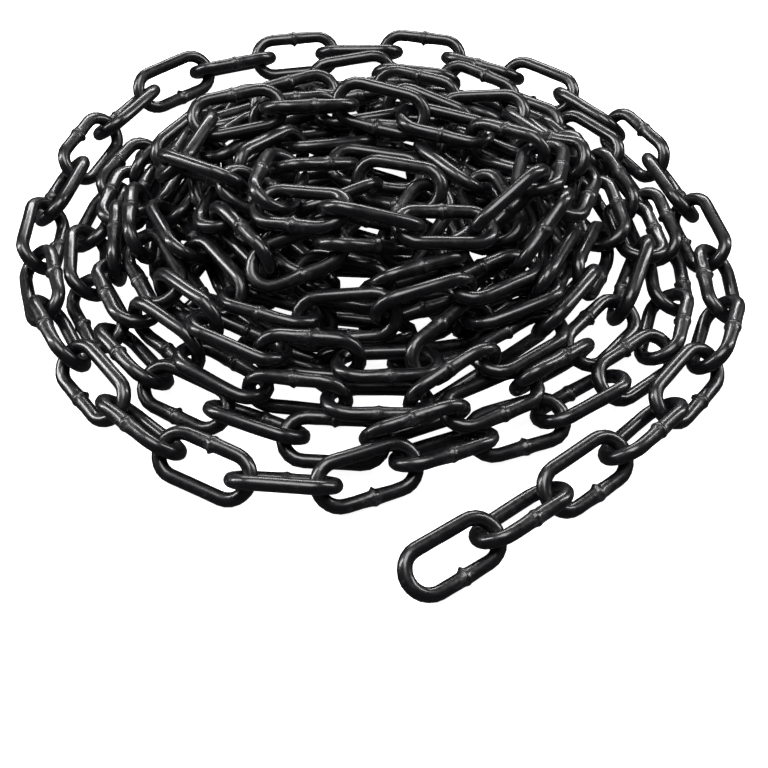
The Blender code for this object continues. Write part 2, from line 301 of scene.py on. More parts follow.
def joints_along(joints: List[Point], path: Sequence[Point], pitch: float) -> List[Point]:
    """Steps along a fine path by one pitch at a time.

    Args:
        joints: Joints already set; the last one is where the steps begin.
        path: Fine points to follow.
        pitch: Distance between joints, in millimetres.

    Returns:
        The joints with the new ones after them.
    """
    joints = list(joints)
    here = joints[-1]
    for point in path:
        away = math.dist(here, point)
        if away >= pitch:
            share = pitch / away
            here = tuple(a + (b - a) * share for a, b in zip(here, point))
            joints.append(here)
    return joints


def poses_between(joints: Sequence[Point], rolls: Sequence[float], free_end: bool) -> Pose:
    """A link between each two joints, its long axis along the chain, rolled about it.

    Args:
        joints: Joint positions, in millimetres.
        rolls: Roll of each link, in degrees.
        free_end: Whether the first link's centre is set from its inner joint.

    Returns:
        Centres and frames, a frame's columns being long axis, width and normal.
    """
    centres = []
    frames = []
    for number, (first, second) in enumerate(zip(joints[:-1], joints[1:])):
        first = np.array(first)
        second = np.array(second)
        along = (second - first) / math.dist(first, second)
        centre = (first + second) / 2.0
        if free_end and number == 0:
            centre = second - along * FREE_END_REACH
        outward = np.array([along[1], -along[0], 0.0])
        outward = outward / math.sqrt(outward[0] ** 2 + outward[1] ** 2)
        upward = np.cross(outward, along)
        roll = math.radians(rolls[number])
        normal = math.cos(roll) * upward + math.sin(roll) * outward
        centres.append(centre)
        frames.append(np.stack([along, np.cross(normal, along), normal], 1))
    return np.round(np.array(centres), 5), np.round(np.array(frames), 7)


def dot(a: np.ndarray, b: np.ndarray) -> np.ndarray:
    """Row by row scalar product."""
    return a[:, 0] * b[:, 0] + a[:, 1] * b[:, 1] + a[:, 2] * b[:, 2]


def cross(a: np.ndarray, b: np.ndarray) -> np.ndarray:
    """Row by row vector product."""
    x = a[:, 1] * b[:, 2] - a[:, 2] * b[:, 1]
    y = a[:, 2] * b[:, 0] - a[:, 0] * b[:, 2]
    z = a[:, 0] * b[:, 1] - a[:, 1] * b[:, 0]
    return np.stack([x, y, z], 1)


def length(a: np.ndarray) -> np.ndarray:
    """Row by row length."""
    return np.sqrt(dot(a, a))


class Pushes:
    """Small moves and turns gathered for each link in one pass."""

    firm: float = 1.4
    crowd: float = 0.33

    def __init__(self, spread: float) -> None:
        """Starts empty.

        Args:
            spread: Square of a link's turning radius, in square millimetres.
        """
        self.spread = spread
        self.links: List[np.ndarray] = []
        self.moves: List[np.ndarray] = []
        self.turns: List[np.ndarray] = []

    def add(
        self, links: np.ndarray, way: np.ndarray, lever: np.ndarray, share: np.ndarray
    ) -> None:
        """Pushes links along a way by a share, turning them by their lever.

        Args:
            links: Number of each pushed link.
            way: Unit direction of each push.
            lever: Lever arm crossed with the direction.
            share: Size of each push.
        """
        self.links.append(links)
        self.moves.append(way * share[:, None])
        self.turns.append(lever * (share / self.spread)[:, None])

    def total(self, count: int) -> Tuple[np.ndarray, np.ndarray]:
        """Damped sum of the moves and turns of each link.

        Args:
            count: Number of links.

        Returns:
            Moves and turns, one row a link.
        """
        links = np.concatenate(self.links)
        moves = np.concatenate(self.moves)
        turns = np.concatenate(self.turns)
        hits = np.bincount(links, minlength=count)
        damp = self.firm / np.maximum(1.0, hits * self.crowd)
        move = [np.bincount(links, weights=moves[:, k], minlength=count) for k in range(3)]
        turn = [np.bincount(links, weights=turns[:, k], minlength=count) for k in range(3)]
        return np.stack(move, 1) * damp[:, None], np.stack(turn, 1) * damp[:, None]


@dataclass
class Settling:
    """Lets a laid chain sink and part until no two links share space."""

    link: LinkSize
    core_size: Point = (93.0, 84.0, 24.0)
    core_back: float = -4.0
    core_margin: float = 3.2
    inside_core: bool = False
    clear: float = 5.4
    passes: int = 2300
    fall: float = 0.12
    fall_until: int = 1100
    fall_fade: int = 300
    let_go: int = 1400
    spread: float = 160.0
    reach: float = 46.0
    watch: float = 4.0
    watch_passes: int = 8
    tighten_passes: float = 60.0
    hook_reach: float = 0.3
    hook_slack: float = 3.2
    most_core_push: float = 2.0
    most_turn: float = 0.08
    most_move: float = 0.6
    hold_firm: float = 0.02
    hold_loose: float = 0.002
    late_hold: float = 0.1
    lift: float = 0.34
    held_links: int = 36

    def nearest_shares(
        self, start_a: np.ndarray, way_a: np.ndarray, start_b: np.ndarray, way_b: np.ndarray
    ) -> Tuple[np.ndarray, np.ndarray]:
        """How far along two straight pieces their nearest points lie.

        Args:
            start_a: Starts of the first pieces.
            way_a: Ways of the first pieces.
            start_b: Starts of the second pieces.
            way_b: Ways of the second pieces.

        Returns:
            Shares from 0 to 1 along each.
        """
        gap = start_a - start_b
        aa = dot(way_a, way_a)
        bb = dot(way_b, way_b)
        ab = dot(way_a, way_b)
        ga = dot(way_a, gap)
        gb = dot(way_b, gap)
        spread = aa * bb - ab * ab
        skew = spread > 1e-9
        share_a = np.where(skew, (ab * gb - ga * bb) / np.where(skew, spread, 1.0), 0.5)
        share_a = np.minimum(np.maximum(share_a, 0.0), 1.0)
        share_b = np.minimum(np.maximum((ab * share_a + gb) / bb, 0.0), 1.0)
        share_a = np.minimum(np.maximum((ab * share_b - ga) / aa, 0.0), 1.0)
        return share_a, share_b

    def wire_pieces(self, pose: Pose, corners: np.ndarray) -> Tuple[np.ndarray, np.ndarray]:
        """Start and way of the straight pieces of every link.

        Args:
            pose: Centres and frames.
            corners: Corners of the middle line.

        Returns:
            Starts and ways, link after link.
        """
        centres, frames = pose
        along = corners[None, :, 0, None] * frames[:, None, :, 0]
        across = corners[None, :, 1, None] * frames[:, None, :, 1]
        points = centres[:, None, :] + along + across
        ways = np.roll(points, -1, axis=1) - points
        return points.reshape(-1, 3), ways.reshape(-1, 3)

    def close_pairs(
        self, centres: np.ndarray, starts: np.ndarray, ways: np.ndarray, count: int
    ) -> Tuple[np.ndarray, np.ndarray]:
        """Pairs of wire pieces of different links that lie near each other.

        Args:
            centres: Link centres.
            starts: Starts of the pieces.
            ways: Ways of the pieces.
            count: Pieces in a link.

        Returns:
            Numbers of the first and second piece of each pair.
        """
        apart = centres[:, None, :] - centres[None, :, :]
        square = apart[..., 0] ** 2 + apart[..., 1] ** 2 + apart[..., 2] ** 2
        order = np.arange(len(centres))
        first, second = np.where((square < self.reach ** 2) & (order[:, None] < order[None, :]))
        grid_a, grid_b = np.meshgrid(np.arange(count), np.arange(count), indexing="ij")
        pair_a = (first[:, None] * count + grid_a.ravel()[None, :]).ravel()
        pair_b = (second[:, None] * count + grid_b.ravel()[None, :]).ravel()
        middle = starts + ways * 0.5
        half = length(ways) * 0.5
        between = middle[pair_a] - middle[pair_b]
        near = dot(between, between) < (half[pair_a] + half[pair_b] + self.clear + self.watch) ** 2
        return pair_a[near], pair_b[near]

    def part_wires(
        self,
        pushes: Pushes,
        centres: np.ndarray,
        pieces: Tuple[np.ndarray, np.ndarray],
        pairs: Tuple[np.ndarray, np.ndarray],
        owner: np.ndarray,
        clear: float,
    ) -> None:
        """Parts any two wires that are closer than the clear distance.

        Args:
            pushes: Where the pushes are gathered.
            centres: Link centres.
            pieces: Starts and ways of the wire pieces.
            pairs: Pairs that may touch.
            owner: Link of each piece.
            clear: Distance that the middle lines keep.
        """
        starts, ways = pieces
        pair_a, pair_b = pairs
        share_a, share_b = self.nearest_shares(
            starts[pair_a], ways[pair_a], starts[pair_b], ways[pair_b]
        )
        point_a = starts[pair_a] + ways[pair_a] * share_a[:, None]
        point_b = starts[pair_b] + ways[pair_b] * share_b[:, None]
        gap = point_a - point_b
        apart = length(gap)
        hit = apart < clear
        way = gap[hit] / np.maximum(apart[hit], 1e-6)[:, None]
        link_a = owner[pair_a[hit]]
        link_b = owner[pair_b[hit]]
        turn_a = cross(point_a[hit] - centres[link_a], way)
        turn_b = cross(point_b[hit] - centres[link_b], way)
        weight = 2.0 + (dot(turn_a, turn_a) + dot(turn_b, turn_b)) / self.spread
        share = (clear - apart[hit]) / weight
        pushes.add(link_a, way, turn_a, share)
        pushes.add(link_b, -way, -turn_b, share)

    def lift_off_floor(
        self, pushes: Pushes, centres: np.ndarray, starts: np.ndarray, owner: np.ndarray
    ) -> None:
        """Lifts any corner that has sunk below the floor.

        Args:
            pushes: Where the pushes are gathered.
            centres: Link centres.
            starts: Corners of the links.
            owner: Link of each corner.
        """
        low = starts[:, 2] < self.link.wire / 2.0
        links = owner[low]
        way = np.zeros((len(links), 3))
        way[:, 2] = 1.0
        turn = cross(starts[low] - centres[links], way)
        share = (self.link.wire / 2.0 - starts[low, 2]) / (1.0 + dot(turn, turn) / self.spread)
        pushes.add(links, way, turn, share)

    def keep_to_core(
        self,
        pushes: Pushes,
        centres: np.ndarray,
        pieces: Tuple[np.ndarray, np.ndarray],
        owner: np.ndarray,
    ) -> None:
        """Keeps wires outside the rounded core, or inside it for the hidden links.

        The core is half an ellipsoid: the sum of the squared shares of its three
        half-axes is one on its skin, and its slope gives the way out.

        Args:
            pushes: Where the pushes are gathered.
            centres: Link centres.
            pieces: Starts and ways of the wire pieces.
            owner: Link of each piece.
        """
        starts, ways = pieces
        shift = np.array([0.0, self.core_back, 0.0])
        points = np.concatenate([starts, starts + ways * 0.5]) - shift
        links = np.concatenate([owner, owner])
        side = -1.0 if self.inside_core else 1.0
        half = np.array(self.core_size) + side * self.core_margin
        reach = (points[:, 0] / half[0]) ** 2 + (points[:, 1] / half[1]) ** 2
        reach = reach + (points[:, 2] / half[2]) ** 2
        slope = points / half ** 2
        steep = length(slope)
        depth = side * (1.0 - reach) / (2.0 * np.maximum(steep, 1e-9))
        wrong = depth > 0.0
        links = links[wrong]
        way = side * slope[wrong] / steep[wrong][:, None]
        turn = cross(points[wrong] - (centres[links] - shift), way)
        share = np.minimum(depth[wrong], self.most_core_push)
        share = share / (1.0 + dot(turn, turn) / self.spread)
        pushes.add(links, way, turn, share)

    def pull_hooks(self, pushes: Pushes, pose: Pose) -> None:
        """Keeps each link hooked in the next, with a little slack.

        Args:
            pushes: Where the pushes are gathered.
            pose: Centres and frames.
        """
        centres, frames = pose
        reach = self.link.pitch / 2.0 + self.hook_reach
        first = np.arange(len(centres) - 1)
        second = first + 1
        lever_a = frames[first, :, 0] * reach
        lever_b = frames[second, :, 0] * -reach
        gap = centres[second] + lever_b - centres[first] - lever_a
        size = length(gap)
        loose = size > self.hook_slack
        first = first[loose]
        second = second[loose]
        way = gap[loose] / size[loose][:, None]
        turn_a = cross(lever_a[loose], way)
        turn_b = cross(lever_b[loose], way)
        weight = 2.0 + (dot(turn_a, turn_a) + dot(turn_b, turn_b)) / self.spread
        share = (size[loose] - self.hook_slack) / weight
        pushes.add(first, way, turn_a, share)
        pushes.add(second, -way, -turn_b, share)

    def turned(self, frames: np.ndarray, turn: np.ndarray) -> np.ndarray:
        """Turns every frame by a small amount and makes it square again.

        Args:
            frames: Frames of the links.
            turn: Small turn of each.

        Returns:
            The new frames.
        """
        size = length(turn)
        turn = turn * np.minimum(1.0, self.most_turn / np.maximum(size, 1e-9))[:, None]
        along = frames[:, :, 0]
        normal = frames[:, :, 2]
        along = along + cross(turn, along)
        normal = normal + cross(turn, normal)
        along = along / length(along)[:, None]
        normal = normal - along * dot(normal, along)[:, None]
        normal = normal / length(normal)[:, None]
        return np.stack([along, cross(normal, along), normal], 2)

    def fall_at(self, number: int) -> float:
        """How far the links sink in one pass."""
        if number < self.fall_until:
            return self.fall
        return self.fall * max(0.0, 1.0 - (number - self.fall_until) / self.fall_fade)

    def run(self, pose: Pose) -> Pose:
        """Eases a whole chain.

        Args:
            pose: Centres and frames as laid.

        Returns:
            Centres and frames at rest.
        """
        centres, frames = pose
        corners = self.link.corners()
        count = len(corners)
        owner = np.repeat(np.arange(len(centres)), count)
        home = centres.copy()
        firm = np.arange(len(centres)) < self.held_links
        hold = np.where(firm, self.hold_firm, self.hold_loose)
        pairs = None
        for number in range(self.passes):
            pieces = self.wire_pieces((centres, frames), corners)
            if number % self.watch_passes == 0:
                pairs = self.close_pairs(centres, pieces[0], pieces[1], count)
            clear = self.clear * min(1.0, 0.6 + 0.4 * number / self.tighten_passes)
            pushes = Pushes(self.spread)
            self.part_wires(pushes, centres, pieces, pairs, owner, clear)
            self.pull_hooks(pushes, (centres, frames))
            self.lift_off_floor(pushes, centres, pieces[0], owner)
            self.keep_to_core(pushes, centres, pieces, owner)
            move, turn = pushes.total(len(centres))
            move[:, 2] -= self.fall_at(number)
            grip = hold * (1.0 if number < self.let_go else self.late_hold)
            move[:, :2] += (home - centres)[:, :2] * grip[:, None]
            slow = np.minimum(1.0, self.most_move / np.maximum(length(move), 1e-9))
            centres = centres + move * slow[:, None]
            frames = self.turned(frames, turn)
        centres[:, 2] += self.lift
        return centres, frames


@dataclass(frozen=True)
class WeldedLink:
    """Shape of one link: a round bar bent to a long loop and butt welded at one side."""

    size: LinkSize
    collar: float = 0.34
    collar_width: float = 0.85
    flash: float = 0.75
    flash_width: float = 0.7
    upset: float = 0.16
    upset_width: float = 3.6
    uneven: float = 0.05
    far_off: float = 50.0
    mark_width: float = 5.0
    bearing_from: float = 14.0
    bearing_over: float = 3.0
    seen_welds: int = 6

    def stations(self, end_steps: int, weld: bool) -> Tuple[np.ndarray, np.ndarray, np.ndarray]:
        """Places round the loop: along one side bar, close together at the weld, round
        a half circle, back along the other bar and round the second half circle.

        Args:
            end_steps: Steps round each end.
            weld: Whether the first bar gets its close steps.

        Returns:
            Points, outward ways and the distance from the weld along the bar.
        """
        half = self.size.straight_half
        radius = self.size.end_radius
        first = np.array([-half, 0.0, half])
        if weld:
            near = np.array([0.0, 0.3, 0.6, 0.9, 1.3, 1.9, 2.8, 4.4, 6.6, half])
            first = np.concatenate([-near[:0:-1], near])
        back = np.linspace(half, -half, 4)
        sweep = np.linspace(0.0, math.pi, end_steps + 1)[1:-1]
        right = np.stack([half + radius * np.sin(sweep), -radius * np.cos(sweep)], 1)
        left = np.stack([-half - radius * np.sin(sweep), radius * np.cos(sweep)], 1)
        lower = np.stack([first, np.full(len(first), -radius)], 1)
        upper = np.stack([back, np.full(len(back), radius)], 1)
        points = np.concatenate([lower, right, upper, left])
        ways = np.concatenate([
            np.tile([[0.0, -1.0]], (len(lower), 1)),
            np.stack([np.sin(sweep), -np.cos(sweep)], 1),
            np.tile([[0.0, 1.0]], (len(upper), 1)),
            np.stack([-np.sin(sweep), np.cos(sweep)], 1),
        ])
        from_weld = np.concatenate([first, np.full(len(points) - len(first), self.far_off)])
        return points, ways, from_weld

    def swell(self, from_weld: np.ndarray, angle: np.ndarray, lean: np.ndarray) -> np.ndarray:
        """Extra radius at the weld: a low broad upset and a narrow collar, each a bell
        curve of the distance from the weld, and a pinched lump on the inner side, a
        narrow bell curve along the bar times a power of the cosine round it.

        Args:
            from_weld: Distance from the weld, one for each station.
            angle: Angle round the bar, zero outwards.
            lean: Where the lump sits round the bar, one for each link.

        Returns:
            Extra radius for each link, station and side.
        """
        broad = self.upset * np.exp(-((from_weld / self.upset_width) ** 2))
        narrow = self.collar * np.exp(-((from_weld / self.collar_width) ** 2))
        pinch = self.flash * np.exp(-((from_weld / self.flash_width) ** 2))
        facing = np.maximum(0.0, np.cos(angle[None, None, :] - math.pi - lean[:, None, None])) ** 6
        ring = (broad + narrow)[None, :, None]
        return ring + pinch[None, :, None] * facing

    def rough(self, numbers: np.ndarray, place: np.ndarray, angle: np.ndarray) -> np.ndarray:
        """Slight unevenness of the drawn bar: three sine waves along and round it with
        a phase that differs from link to link.

        Args:
            numbers: Number of each link.
            place: Running share round the loop, one for each station.
            angle: Angle round the bar.

        Returns:
            Extra radius for each link, station and side.
        """
        link = numbers[:, None, None] * 2.399
        run = place[None, :, None] * 2.0 * math.pi
        turn = angle[None, None, :]
        waves = np.sin(3.0 * run + turn + link) + 0.7 * np.sin(7.0 * run - 2.0 * turn + 1.7 * link)
        return self.uneven * (waves + 0.5 * np.sin(13.0 * run + 3.0 * turn + 2.3 * link))

    def mesh(
        self, name: str, pose: Pose, numbers: np.ndarray, detail: Detail, room: np.ndarray
    ) -> bpy.types.Object:
        """Carries a round section along the loop of every link at once.

        Each vertex is the link's centre plus the loop's point in the link's plane,
        pushed outwards by the radius times the cosine of the angle round the bar and
        out of the plane by the radius times its sine. What would reach out of the room
        that the heap takes is trimmed level with it, as where a bar bears on the floor.

        Args:
            name: Name of the piece.
            pose: Centres and frames of its links, in millimetres.
            numbers: Number of each link along the chain.
            detail: How finely the links are meshed.
            room: Lowest and highest corner of the room that the heap takes, in metres.

        Returns:
            The piece.
        """
        centres, frames = pose
        sides, end_steps, weld = detail.value
        points, ways, from_weld = self.stations(end_steps, weld)
        rings = len(points)
        angle = 2.0 * math.pi * np.arange(sides) / sides
        steps = np.hypot(*(points - np.roll(points, 1, axis=0)).T)
        place = np.cumsum(steps) / steps.sum()
        lean = 0.5 * np.sin(numbers * 1.9)
        radius = self.size.wire / 2.0 + self.rough(numbers, place, angle)
        if weld:
            radius = radius + self.swell(from_weld, angle, lean)
        # About three welds in five lie on one side bar, and all of the tail's do.
        near_side = (numbers < self.seen_welds) | ((numbers * 7919) % 5 < 3)
        hand = np.where(near_side, 1.0, -1.0)[:, None, None]
        flat_out = radius * np.cos(angle)[None, None, :]
        u = points[None, :, 0, None] + ways[None, :, 0, None] * flat_out
        v = points[None, :, 1, None] + ways[None, :, 1, None] * flat_out
        w = radius * np.sin(angle)[None, None, :]
        u, v = u * hand, v * hand
        grid = np.stack([u, v, w], 3)
        world = centres[:, None, None, :] + np.einsum("lrsk,ljk->lrsj", grid, frames)
        faces = self.faces(len(centres), rings, sides)
        piece = new_mesh(name, np.clip(world.reshape(-1, 3) * MM, room[0], room[1]), faces)
        near = np.exp(-((from_weld / self.mark_width) ** 2))
        weld_mark = np.broadcast_to(near[None, :, None], (len(centres), rings, sides))
        past = np.abs(points[:, 0]) - self.bearing_from
        bearing = np.clip(past / self.bearing_over, 0.0, 1.0)
        inner = np.clip(-np.cos(angle), 0.0, 1.0)
        bear_mark = np.broadcast_to(
            (bearing[:, None] * inner[None, :])[None], (len(centres), rings, sides)
        )
        add_marks(piece, {"weld": weld_mark, "bearing": bear_mark})
        return piece

    def faces(self, links: int, rings: int, sides: int) -> np.ndarray:
        """Four-cornered faces of closed tubes: every side of every ring joined to the
        next ring, wrapping both ways.

        Args:
            links: Number of links.
            rings: Stations in a link.
            sides: Sides of the bar.

        Returns:
            One row of four vertex numbers for each face.
        """
        ring = np.arange(rings)[:, None]
        side = np.arange(sides)[None, :]
        here = ring * sides + side
        after = ((ring + 1) % rings) * sides + side
        other = ring * sides + (side + 1) % sides
        far = ((ring + 1) % rings) * sides + (side + 1) % sides
        quad = np.stack([here, after, far, other], 2).reshape(-1, 4)
        start = (np.arange(links) * rings * sides)[:, None, None]
        return (quad[None] + start).reshape(-1, 4)


def new_mesh(name: str, verts: np.ndarray, faces: np.ndarray) -> bpy.types.Object:
    """Makes a smooth piece from whole arrays.

    Args:
        name: Name of the piece.
        verts: Vertex places in metres.
        faces: Vertex numbers, one row a face.

    Returns:
        The piece, linked to the scene.
    """
    mesh = bpy.data.meshes.new(name)
    corners = faces.shape[1]
    mesh.vertices.add(len(verts))
    mesh.vertices.foreach_set("co", verts.astype(np.float32).ravel())
    mesh.loops.add(faces.size)
    mesh.loops.foreach_set("vertex_index", faces.astype(np.int32).ravel())
    mesh.polygons.add(len(faces))
    mesh.polygons.foreach_set("loop_start", np.arange(0, faces.size, corners, dtype=np.int32))
    mesh.polygons.foreach_set("use_smooth", np.ones(len(faces), dtype=bool))
    mesh.update(calc_edges=True)
    mesh.validate()
    piece = bpy.data.objects.new(name, mesh)
    bpy.context.collection.objects.link(piece)
    return piece


def add_marks(piece: bpy.types.Object, marks: Dict[str, np.ndarray]) -> None:
    """Stores numbers on a piece's vertices for its material to read.

    Args:
        piece: The piece.
        marks: Values for each vertex by name.
    """
    for name, values in marks.items():
        layer = piece.data.attributes.new(name, "FLOAT", "POINT")
        layer.data.foreach_set("value", np.ascontiguousarray(values, dtype=np.float32).ravel())


def dress(piece: bpy.types.Object, finish: bpy.types.Material, node: str) -> None:
    """Gives a piece its finish, its body and the solid that it stands for.

    Args:
        piece: The piece.
        finish: Its material.
        node: Name of the solid.
    """
    piece.data.materials.append(finish)
    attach(piece, "root")
    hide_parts(node)
    LOG.info("%s: %d faces for %s", piece.name, len(piece.data.polygons), node)


def linear(code: str) -> Tuple[float, float, float, float]:
    """Turns an sRGB hex colour to linear light.

    Args:
        code: Colour such as "#101014".

    Returns:
        Red, green, blue and alpha.
    """
    parts = [int(code[place:place + 2], 16) / 255.0 for place in (1, 3, 5)]
    low = [part / 12.92 if part <= 0.04045 else ((part + 0.055) / 1.055) ** 2.4 for part in parts]
    return low[0], low[1], low[2], 1.0


def add_node(
    tree: bpy.types.NodeTree,
    kind: str,
    settings: Dict[str, Any],
    inputs: Dict[Any, Any],
) -> bpy.types.Node:
    """Adds a node with its settings, its plain values and its links.

    Args:
        tree: Node tree to add to.
        kind: Node type.
        settings: Attributes to set on the node.
        inputs: Values or output sockets by input name or number.

    Returns:
        The node.
    """
    node = tree.nodes.new(kind)
    for name, value in settings.items():
        setattr(node, name, value)
    for name, value in inputs.items():
        if isinstance(value, bpy.types.NodeSocket):
            tree.links.new(value, node.inputs[name])
        else:
            node.inputs[name].default_value = value
    return node


@dataclass(frozen=True)
class BlackLacqueredSteel:
    """Thin black lacquer over drawn and welded steel wire.

    Dipped lacquer on drawn wire gives a deep black with a broad soft sheen under a
    thin glossy skin that draws crisp lines of light. The bar is smooth but for a
    wrinkled stretch on both sides of the weld, and it is duller, with a little bare
    steel, there and where links rub. The bare specks are drawn half a millimetre wide,
    coarser than real ones, so that they show.
    """

    name: str = "black_lacquered_steel"
    lacquer: str = "#070609"
    worn: str = "#19171a"
    bare: str = "#3c393b"
    roughness: float = 0.27
    dull: float = 0.46
    gloss: float = 0.36
    skin: float = 0.4
    skin_roughness: float = 0.11
    glass: float = 1.52
    rub: float = 0.16
    patch_edge: Tuple[float, float] = (0.60, 0.76)
    flake_edge: Tuple[float, float] = (0.60, 0.72)
    dull_edge: Tuple[float, float] = (0.35, 0.8)
    wrinkle_deep_mm: float = 0.36
    pit_deep_mm: float = 0.10
    ripple_mm: float = 1.7
    scuff_mm: float = 2.6
    speck_mm: float = 0.5

    def make(self) -> bpy.types.Material:
        """Builds the node material.

        Returns:
            The material.
        """
        material = bpy.data.materials.new(self.name)
        material.use_nodes = True
        tree = material.node_tree
        shader = tree.nodes["Principled BSDF"]
        place = add_node(tree, "ShaderNodeTexCoord", {}, {}).outputs["Object"]
        weld = add_node(tree, "ShaderNodeAttribute", {"attribute_name": "weld"}, {})
        bearing = add_node(tree, "ShaderNodeAttribute", {"attribute_name": "bearing"}, {})
        scuff = self.noise(tree, place, self.scuff_mm, 4.0, 0.62)
        speck = self.noise(tree, place, self.speck_mm, 2.0, 0.5)
        ripple = self.noise(tree, place, self.ripple_mm, 2.0, 0.45)
        near = add_node(tree, "ShaderNodeMath", {"operation": "MAXIMUM"}, {
            0: weld.outputs["Fac"], 1: bearing.outputs["Fac"]}).outputs[0]
        level = add_node(tree, "ShaderNodeMath", {"operation": "MULTIPLY_ADD"}, {
            0: near, 1: self.rub, 2: scuff}).outputs[0]
        patch = add_node(tree, "ShaderNodeMapRange", {"interpolation_type": "SMOOTHSTEP"}, {
            0: level, 1: self.patch_edge[0], 2: self.patch_edge[1], 3: 0.0, 4: 1.0}).outputs[0]
        fine = add_node(tree, "ShaderNodeMapRange", {"interpolation_type": "SMOOTHSTEP"}, {
            0: speck, 1: self.flake_edge[0], 2: self.flake_edge[1], 3: 0.0, 4: 1.0}).outputs[0]
        flake = add_node(tree, "ShaderNodeMath", {"operation": "MULTIPLY"}, {
            0: fine, 1: patch}).outputs[0]
        worn = add_node(tree, "ShaderNodeMix", {"data_type": "RGBA"}, {
            0: patch, 6: linear(self.lacquer), 7: linear(self.worn)}).outputs[2]
        colour = add_node(tree, "ShaderNodeMix", {"data_type": "RGBA"}, {
            0: flake, 6: worn, 7: linear(self.bare)}).outputs[2]
        rough = add_node(tree, "ShaderNodeMapRange", {}, {
            0: level, 1: self.dull_edge[0], 2: self.dull_edge[1],
            3: self.roughness, 4: self.dull}).outputs[0]
        tree.links.new(colour, shader.inputs["Base Color"])
        tree.links.new(rough, shader.inputs["Roughness"])
        wrinkled = self.surface(tree, ripple, speck, weld.outputs["Fac"])
        tree.links.new(wrinkled, shader.inputs["Normal"])
        shader.inputs["IOR"].default_value = self.glass
        shader.inputs["Specular IOR Level"].default_value = self.gloss
        shader.inputs["Coat Weight"].default_value = self.skin
        shader.inputs["Coat Roughness"].default_value = self.skin_roughness
        return material

    def noise(
        self,
        tree: bpy.types.NodeTree,
        place: bpy.types.NodeSocket,
        size_mm: float,
        detail: float,
        rough: float,
    ) -> bpy.types.NodeSocket:
        """A noise whose lumps are of a real size.

        Args:
            tree: Node tree.
            place: Coordinates.
            size_mm: Size of a lump in millimetres.
            detail: Octaves.
            rough: Strength of the finer octaves.

        Returns:
            The noise value.
        """
        inputs = {"Vector": place, "Scale": 1.0 / (size_mm * MM), "Detail": detail}
        inputs["Roughness"] = rough
        node = add_node(tree, "ShaderNodeTexNoise", {}, inputs)
        return node.outputs[0]

    def surface(
        self,
        tree: bpy.types.NodeTree,
        ripple: bpy.types.NodeSocket,
        speck: bpy.types.NodeSocket,
        weld: bpy.types.NodeSocket,
    ) -> bpy.types.NodeSocket:
        """Wrinkles and pits of the lacquer, faint on the bar and deep beside the weld.

        Args:
            tree: Node tree.
            ripple: Broad noise.
            speck: Fine noise.
            weld: Nearness to the weld, one at it.

        Returns:
            The bent normal.
        """
        wrinkles = add_node(tree, "ShaderNodeMath", {"operation": "MULTIPLY_ADD"}, {
            0: weld, 1: 0.85, 2: 0.12}).outputs[0]
        pits = add_node(tree, "ShaderNodeMath", {"operation": "MULTIPLY_ADD"}, {
            0: weld, 1: 0.5, 2: 0.01}).outputs[0]
        broad = add_node(tree, "ShaderNodeBump", {}, {
            "Strength": wrinkles, "Distance": self.wrinkle_deep_mm * MM, "Height": ripple})
        fine = add_node(tree, "ShaderNodeBump", {}, {
            "Strength": pits, "Distance": self.pit_deep_mm * MM, "Height": speck,
            "Normal": broad.outputs[0]})
        return fine.outputs[0]


@dataclass(frozen=True)
class LitPaperFloor:
    """Matt white paper lit from below: flat, even and almost without shadow."""

    name: str = "white_paper_floor"
    colour: str = "#f4f4f4"
    roughness: float = 0.9
    gloss: float = 0.1
    glow: float = 0.95

    def make(self) -> bpy.types.Material:
        """Builds the floor material.

        Returns:
            The material.
        """
        material = bpy.data.materials.new(self.name)
        material.use_nodes = True
        shader = material.node_tree.nodes["Principled BSDF"]
        shader.inputs["Base Color"].default_value = linear(self.colour)
        shader.inputs["Roughness"].default_value = self.roughness
        shader.inputs["Specular IOR Level"].default_value = self.gloss
        shader.inputs["Emission Color"].default_value = (1.0, 1.0, 1.0, 1.0)
        shader.inputs["Emission Strength"].default_value = self.glow
        return material


@dataclass
class LinkPieces:
    """The links of the tail, the outer turn and the coil, a piece for each solid."""

    link: LinkSize
    pose: Pose
    finish: bpy.types.Material
    room: np.ndarray
    floor_links: int = 29
    tail_links: int = 6
    run_links: int = 5
    shape: WeldedLink = field(init=False)

    def __post_init__(self) -> None:
        """Sets the shape of a link from its size."""
        self.shape = WeldedLink(self.link)

    def single_node(self, number: int) -> str:
        """Name of the solid of a loose link by its place from the free end."""
        if number == 0:
            return "end_link"
        if number < self.tail_links:
            return f"tail_link_{number:02d}"
        return f"outer_link_{number - self.tail_links + 1:02d}"

    def build(self) -> None:
        """Makes every link of the visible chain."""
        total = len(self.pose[0])
        for number in range(self.floor_links):
            self.piece(self.single_node(number), np.array([number]), Detail.LOOSE)
        for place, first in enumerate(range(self.floor_links, total, self.run_links)):
            numbers = np.arange(first, min(first + self.run_links, total))
            self.piece(f"coil_run_{place + 1:02d}", numbers, Detail.COILED)

    def piece(self, node: str, numbers: np.ndarray, detail: Detail) -> None:
        """Makes and dresses the piece that stands for one solid.

        Args:
            node: Name of the solid.
            numbers: Its links, counted from the free end.
            detail: How finely they are meshed.
        """
        pose = self.pose[0][numbers], self.pose[1][numbers]
        piece = self.shape.mesh(f"lacquered_{node}", pose, numbers, detail, self.room)
        dress(piece, self.finish, node)


@dataclass
class BuriedPieces:
    """The links that lie hidden inside the heap, in the place of its solid core."""

    link: LinkSize
    pose: Pose
    finish: bpy.types.Material
    room: np.ndarray
    first_number: int = 300

    def build(self) -> None:
        """Makes the hidden links as one piece."""
        numbers = np.arange(len(self.pose[0])) + self.first_number
        shape = WeldedLink(self.link)
        piece = shape.mesh("buried_chain", self.pose, numbers, Detail.BURIED, self.room)
        dress(piece, self.finish, "heap_core")


